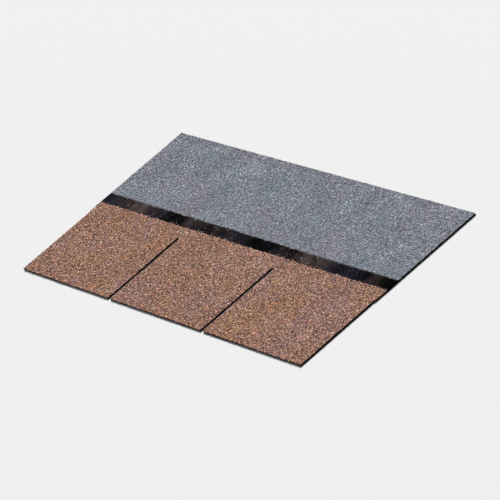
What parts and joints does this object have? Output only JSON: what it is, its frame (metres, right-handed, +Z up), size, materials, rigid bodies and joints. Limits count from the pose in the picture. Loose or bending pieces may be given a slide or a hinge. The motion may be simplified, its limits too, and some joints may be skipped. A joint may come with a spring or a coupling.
{
  "type": "three-tab asphalt strip shingle",
  "caption": "Flat bitumen roofing strip with rectangular granule-faced tabs, cut slots, a black self-seal band and a blue-grey headlap.",
  "frame": {"origin": "centre of the strip's underside", "axes": "+X along the strip, +Y from the tabs' butt edge up to the headlap's top edge, +Z up out of the granule face"},
  "size_m": [1, 0.336, 0.003],
  "materials": {
    "mineral_granules": "matte",
    "sealing_bitumen": "satin"
  },
  "bodies": {
    "root": {"shingle_sheet": "mineral_granules", "sealing_strip": "sealing_bitumen"}
  },
  "joints": []
}
